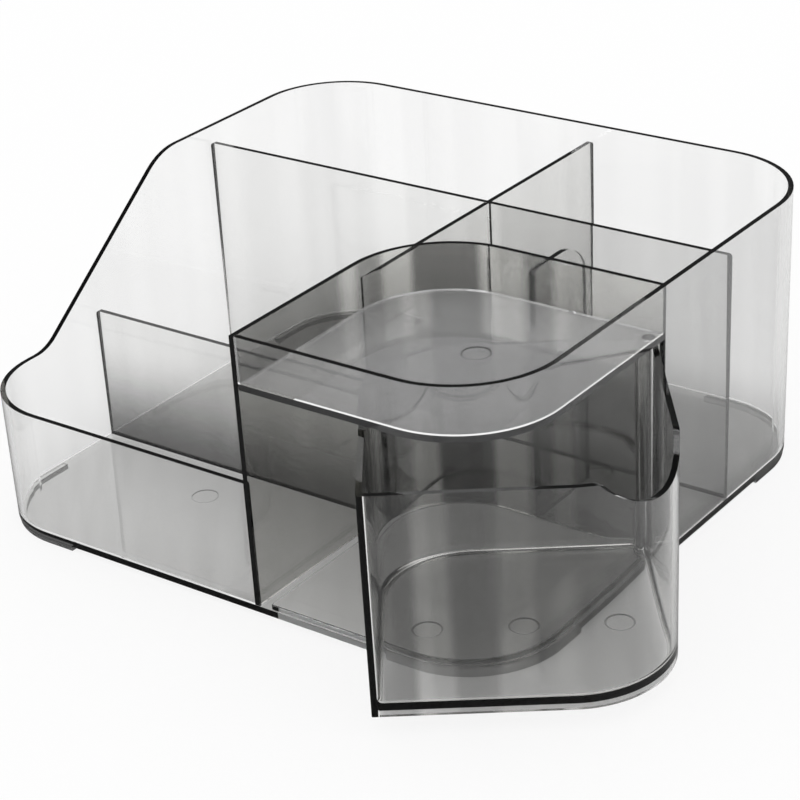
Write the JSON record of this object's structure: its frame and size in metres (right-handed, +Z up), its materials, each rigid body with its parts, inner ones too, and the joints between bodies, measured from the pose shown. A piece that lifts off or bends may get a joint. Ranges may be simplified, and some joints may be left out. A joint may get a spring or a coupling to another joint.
{
  "type": "desk organizer with swing-out drawer",
  "caption": "Clear smoke-grey desk organizer with open compartments, a raised tray and a drawer that swings out beneath it on an upright corner pivot.",
  "frame": {"origin": "table level under the middle of the object's footprint, drawer open as stored", "axes": "+X to the right along the front, +Y to the back, +Z up"},
  "size_m": [0.2825, 0.263, 0.1087],
  "materials": {
    "smoke_plastic": "polished, transparent smoke grey"
  },
  "bodies": {
    "case": {"outer_wall": "smoke_plastic", "bay_wall": "smoke_plastic", "cross_divider": "smoke_plastic", "middle_divider": "smoke_plastic", "low_divider": "smoke_plastic", "slot_divider": "smoke_plastic", "tray_floor": "smoke_plastic", "base_plate": "smoke_plastic", "pivot_rod": "smoke_plastic"},
    "swing_drawer": {"drawer": "smoke_plastic"}
  },
  "joints": [
    {"name": "drawer_swing", "type": "hinge", "parent": "case", "child": "swing_drawer", "pos_m": [0.09412, 0.0039, 0], "axis": [0, 0, 1], "range_deg": [-35.3, 54.7]}
  ]
}
